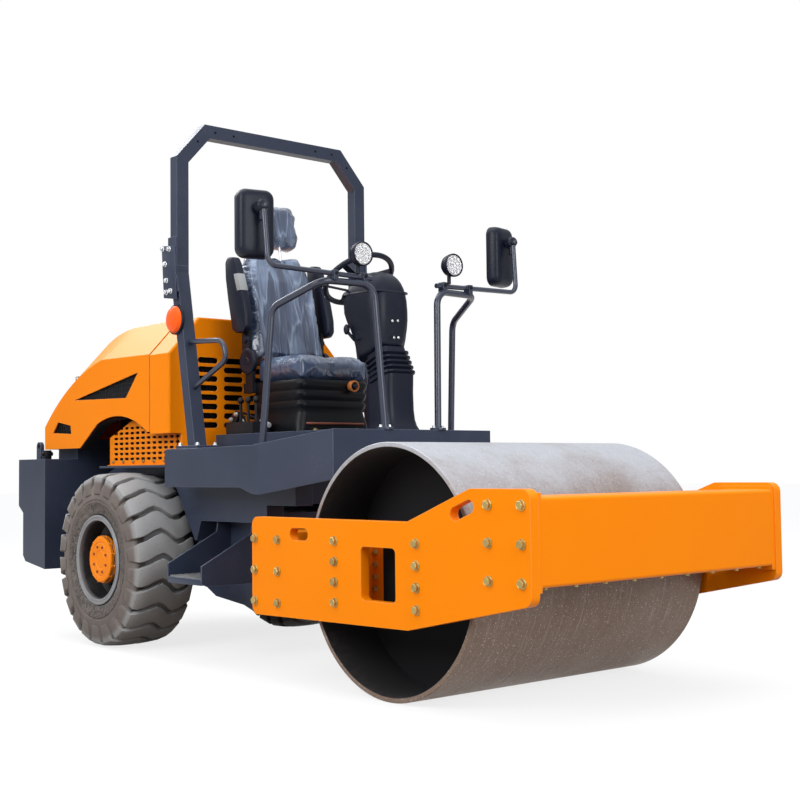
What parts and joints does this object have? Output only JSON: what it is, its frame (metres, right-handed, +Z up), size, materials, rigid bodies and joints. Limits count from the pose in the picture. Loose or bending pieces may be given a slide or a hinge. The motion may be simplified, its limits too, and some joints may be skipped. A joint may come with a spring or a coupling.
{
  "type": "single-drum road roller",
  "caption": "Articulated soil compactor with a smooth steel drum, open platform with roll-over hoop, tilting hood and rubber-tyred rear axle",
  "frame": {"origin": "on the ground under the middle of the machine's length and width", "axes": "+X forward to the drum, +Y to the machine's left, +Z up"},
  "size_m": [4.987, 2.0014, 3.162],
  "materials": {
    "orange_paint": "satin machine enamel",
    "slate_paint": "satin dark slate enamel",
    "drum_steel": "worn bare rolled steel with rust stains",
    "chrome_rod": "hard chrome",
    "dark_iron": "dark primed iron",
    "rim_paint": "silver enamel",
    "tyre": "dusty black rubber",
    "black_plastic": "grained black plastic",
    "seat_cover": "blue-grey vinyl under clear wrap",
    "lamp_glass": "clear lens over reflectors"
  },
  "bodies": {
    "rear_frame": {"bulkhead": "orange_paint", "console": "black_plastic", "control_levers": "black_plastic", "counterweight": "slate_paint", "deck": "slate_paint", "engine_block": "dark_iron", "headrest": "seat_cover", "left_armrest": "black_plastic", "left_handrail": "slate_paint", "left_mirror": "black_plastic", "left_mirror_arm": "slate_paint", "left_rops_post": "slate_paint", "left_side_grille": "orange_paint", "left_skirt": "slate_paint", "left_step": "slate_paint", "left_tank": "slate_paint", "left_work_lamp": "lamp_glass", "rear_axle": "slate_paint", "rear_chassis": "slate_paint", "right_armrest": "black_plastic", "right_handrail": "slate_paint", "right_mirror": "black_plastic", "right_mirror_arm": "slate_paint", "right_rops_post": "slate_paint", "right_side_grille": "orange_paint", "right_skirt": "slate_paint", "right_step": "slate_paint", "right_tank": "slate_paint", "right_work_lamp": "lamp_glass", "rops_hoop": "slate_paint", "seat_back": "seat_cover", "seat_base": "black_plastic", "seat_cushion": "seat_cover", "steering_column": "black_plastic"},
    "drum": {"drum": "drum_steel"},
    "right_wheel": {"right_tyre": "tyre", "right_wheel_rim": "rim_paint"},
    "left_wheel": {"left_tyre": "tyre", "left_wheel_rim": "rim_paint"},
    "hood": {"hood": "orange_paint"},
    "steering_wheel": {"steering_wheel": "black_plastic"},
    "centre_joint": {"centre_joint": "slate_paint"},
    "front_frame": {"right_side_plate": "orange_paint", "left_side_plate": "orange_paint", "right_drum_bracket": "orange_paint", "left_drum_bracket": "orange_paint", "right_drum_bearing": "dark_iron", "left_drum_bearing": "dark_iron", "front_crossbeam": "orange_paint", "rear_crossbeam": "orange_paint", "front_scraper": "dark_iron", "rear_scraper": "dark_iron"},
    "right_barrel": {"right_cylinder_barrel": "slate_paint"},
    "right_rod": {"right_cylinder_rod": "chrome_rod"},
    "left_barrel": {"left_cylinder_barrel": "slate_paint"},
    "left_rod": {"left_cylinder_rod": "chrome_rod"}
  },
  "joints": [
    {"name": "steer", "type": "hinge", "parent": "rear_frame", "child": "centre_joint", "pos_m": [0.0915, 0, 0.6], "axis": [0, 0, 1], "range_deg": [-33, 33]},
    {"name": "swing", "type": "hinge", "parent": "centre_joint", "child": "front_frame", "pos_m": [0.3915, 0, 0.6], "axis": [1, 0, 0], "range_deg": [-10, 10]},
    {"name": "drum_roll", "type": "hinge", "parent": "front_frame", "child": "drum", "pos_m": [1.4915, 0, 0.6], "axis": [0, 1, 0], "continuous": true},
    {"name": "right_wheel_roll", "type": "hinge", "parent": "rear_frame", "child": "right_wheel", "pos_m": [-1.2195, -0.663, 0.535], "axis": [0, 1, 0], "continuous": true},
    {"name": "left_wheel_roll", "type": "hinge", "parent": "rear_frame", "child": "left_wheel", "pos_m": [-1.2195, 0.663, 0.535], "axis": [0, 1, 0], "continuous": true},
    {"name": "hood_tilt", "type": "hinge", "parent": "rear_frame", "child": "hood", "pos_m": [-1.0965, 0, 1.996], "axis": [0, 1, 0], "range_deg": [0, 50]},
    {"name": "steering_turn", "type": "hinge", "parent": "rear_frame", "child": "steering_wheel", "pos_m": [0.3165, 0, 2.17], "axis": [-0.5736, 0, 0.8192], "continuous": true},
    {"name": "right_barrel_swing", "type": "hinge", "parent": "rear_frame", "child": "right_barrel", "pos_m": [-0.4585, -0.29, 0.6], "axis": [0, 0, 1], "range_deg": [-4.39, 4.39]},
    {"name": "right_rod_slide", "type": "slide", "parent": "right_barrel", "child": "right_rod", "axis": [0.9914, 0.1312, 0], "range_m": [-0.11978, 0.11978]},
    {"name": "left_barrel_swing", "type": "hinge", "parent": "rear_frame", "child": "left_barrel", "pos_m": [-0.4585, 0.29, 0.6], "axis": [0, 0, 1], "range_deg": [-4.39, 4.39]},
    {"name": "left_rod_slide", "type": "slide", "parent": "left_barrel", "child": "left_rod", "axis": [0.9914, -0.1312, 0], "range_m": [-0.11978, 0.11978]}
  ],
  "couplings": [
    {"joint": "right_barrel_swing", "follows": "steer", "ratio": 0.13284},
    {"joint": "right_rod_slide", "follows": "steer", "m_per_rad": 0.20779},
    {"joint": "left_barrel_swing", "follows": "steer", "ratio": 0.13284},
    {"joint": "left_rod_slide", "follows": "steer", "m_per_rad": -0.20779}
  ]
}
